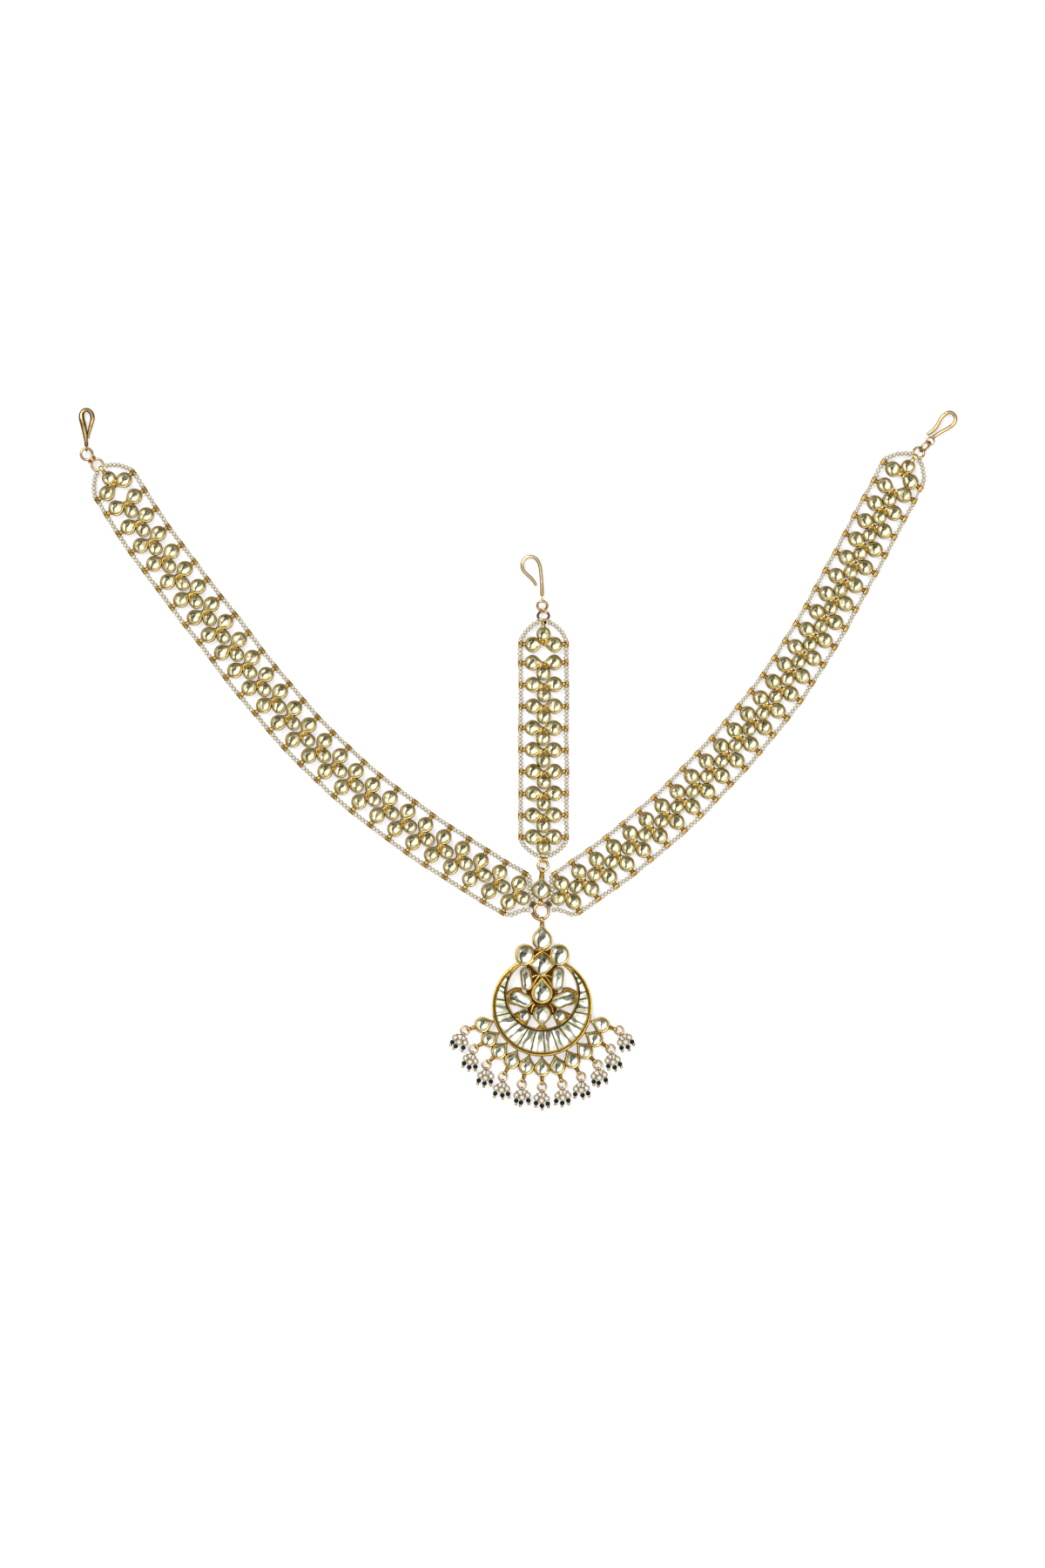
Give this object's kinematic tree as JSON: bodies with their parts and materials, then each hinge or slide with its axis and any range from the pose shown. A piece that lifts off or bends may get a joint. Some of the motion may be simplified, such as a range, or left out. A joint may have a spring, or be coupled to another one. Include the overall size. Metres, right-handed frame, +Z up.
{
  "type": "matha patti",
  "caption": "Head ornament of two side bands and a crown band of gold-set kundan stones between pearl strings, with a crescent pendant, pearl drops and hooks.",
  "frame": {"origin": "on the surface that the ornament lies on, under the pear-shaped connector where the three bands and the pendant meet", "axes": "+Z up from the surface, +Y along the crown band from the connector to its hook, +X towards the right-hand side band's hook as in the picture"},
  "size_m": [0.2819, 0.2257, 0.0036],
  "materials": {
    "gold": "polished gold-coloured metal, a little uneven",
    "band_stone": "clear flat-cut stone over foil, pale straw with an olive reflection",
    "clear_stone": "clear flat-cut stone over silver foil, white with a grey-green reflection",
    "pearl": "soft pearl lustre",
    "green_bead": "polished very dark green"
  },
  "bodies": {
    "root": {"left_band_links": "gold", "right_band_links": "gold", "crown_band_links": "gold", "crown_band_stones": "band_stone", "left_string_upper": "pearl", "left_string_lower": "pearl", "right_string_upper": "pearl", "right_string_lower": "pearl", "crown_string_left": "pearl", "crown_string_right": "pearl", "connector_setting": "gold", "connector_stone": "clear_stone", "connector_ring_upper": "gold", "connector_ring_lower": "gold", "pendant_frame": "gold", "stone_top": "clear_stone", "stone_round_left": "clear_stone", "stone_round_right": "clear_stone", "stone_rhombus": "clear_stone", "stone_leaf_left": "clear_stone", "stone_leaf_right": "clear_stone", "stone_centre": "clear_stone", "stone_petal_left": "clear_stone", "stone_petal_right": "clear_stone", "stone_lower": "clear_stone", "stone_dot_left": "clear_stone", "stone_dot_right": "clear_stone", "crescent_stones": "clear_stone", "rim_stones": "clear_stone", "drop_rings": "gold", "drop_pins": "gold", "drop_pearls": "pearl", "drop_green_beads": "green_bead", "left_hook": "gold", "left_ring_eye": "gold", "left_ring_joining": "gold", "left_ring_band": "gold", "right_hook": "gold", "right_ring_joining": "gold", "right_ring_band": "gold", "crown_hook": "gold", "crown_ring_hook": "gold", "crown_ring_band": "gold"}
  },
  "joints": []
}
